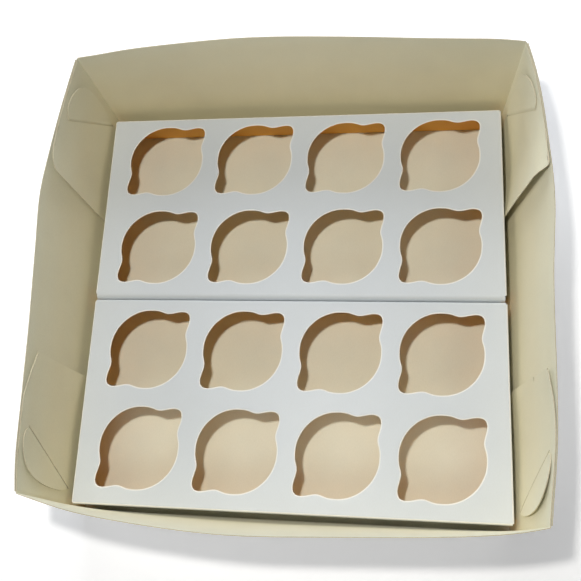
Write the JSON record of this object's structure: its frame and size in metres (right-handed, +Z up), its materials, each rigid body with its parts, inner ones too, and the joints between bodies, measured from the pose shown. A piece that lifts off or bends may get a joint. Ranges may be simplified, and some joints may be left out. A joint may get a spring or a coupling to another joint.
{
  "type": "cupcake box",
  "caption": "Open square tray folded from card with lock-tab corners, holding two raised insert cards punched with notched round cup holes.",
  "frame": {"origin": "middle of the tray floor, on its underside", "axes": "+Z up, +X to the right along the near wall, +Y from the near wall to the far wall"},
  "size_m": [0.3763, 0.3686, 0.1103],
  "materials": {
    "tray_card": "uncoated cream board inside, matt white coating outside",
    "insert_card": "smooth matt white coated card"
  },
  "bodies": {
    "root": {"tray": "tray_card", "insert_far": "insert_card", "insert_near": "insert_card"}
  },
  "joints": []
}
